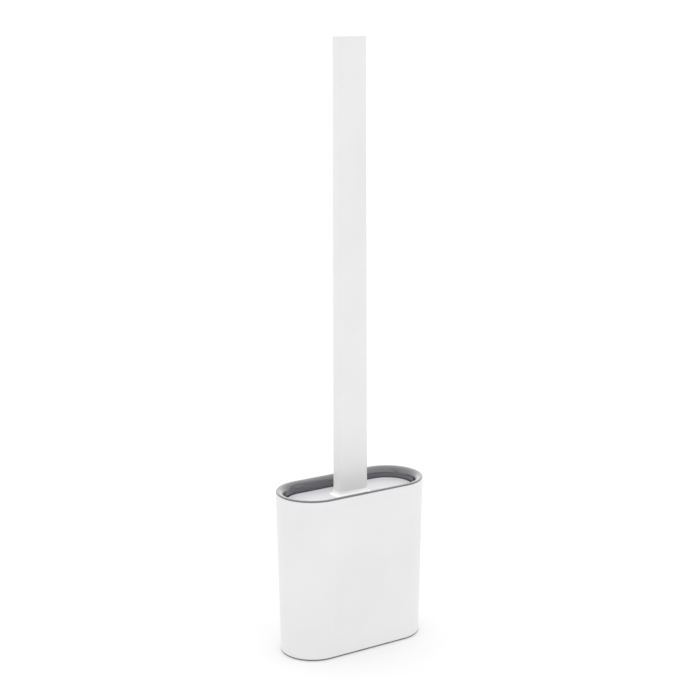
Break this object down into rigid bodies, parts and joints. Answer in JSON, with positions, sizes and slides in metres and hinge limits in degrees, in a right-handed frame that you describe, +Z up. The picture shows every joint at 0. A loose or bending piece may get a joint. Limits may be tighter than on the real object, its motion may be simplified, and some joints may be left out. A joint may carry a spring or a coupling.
{
  "type": "toilet brush holder",
  "caption": "Slim free-standing holder with a grey-rimmed drip cup and tray, and a flat toilet brush on a long bar handle whose lid closes the cup.",
  "frame": {"origin": "centre of the holder's footprint, on the floor plane under the feet", "axes": "+Z up along the handle, +X along the wide side of the holder, +Y towards its back, so the front faces -Y"},
  "size_m": [0.112, 0.05, 0.42],
  "materials": {
    "white_abs": "satin moulded ABS",
    "lid_abs": "smooth moulded ABS",
    "grey_pp": "satin moulded polypropylene",
    "core_pp": "moulded polypropylene",
    "bristle_tpr": "soft moulded thermoplastic rubber",
    "foot_rubber": "matt rubber",
    "spine_steel": "plain stainless steel"
  },
  "bodies": {
    "base": {"base_tray": "grey_pp", "foot_pad_front_left": "foot_rubber", "foot_pad_front_right": "foot_rubber", "foot_pad_back_left": "foot_rubber", "foot_pad_back_right": "foot_rubber"},
    "shell": {"outer_shell": "white_abs"},
    "liner": {"inner_liner": "grey_pp"},
    "brush": {"lid_plate": "lid_abs", "handle_collar": "white_abs", "handle_front_shell": "white_abs", "handle_back_shell": "white_abs", "spine_bar": "spine_steel", "spine_pin": "spine_steel", "head_core": "core_pp", "bristle_sleeve": "bristle_tpr"}
  },
  "joints": [
    {"name": "shell_lift", "type": "slide", "parent": "base", "child": "shell", "axis": [0, 0, 1], "range_m": [0, 0.02]},
    {"name": "liner_lift", "type": "slide", "parent": "shell", "child": "liner", "axis": [0, 0, 1], "range_m": [0, 0.11]},
    {"name": "brush_lift", "type": "slide", "parent": "liner", "child": "brush", "axis": [0, 0, 1], "range_m": [0, 0.1]}
  ]
}
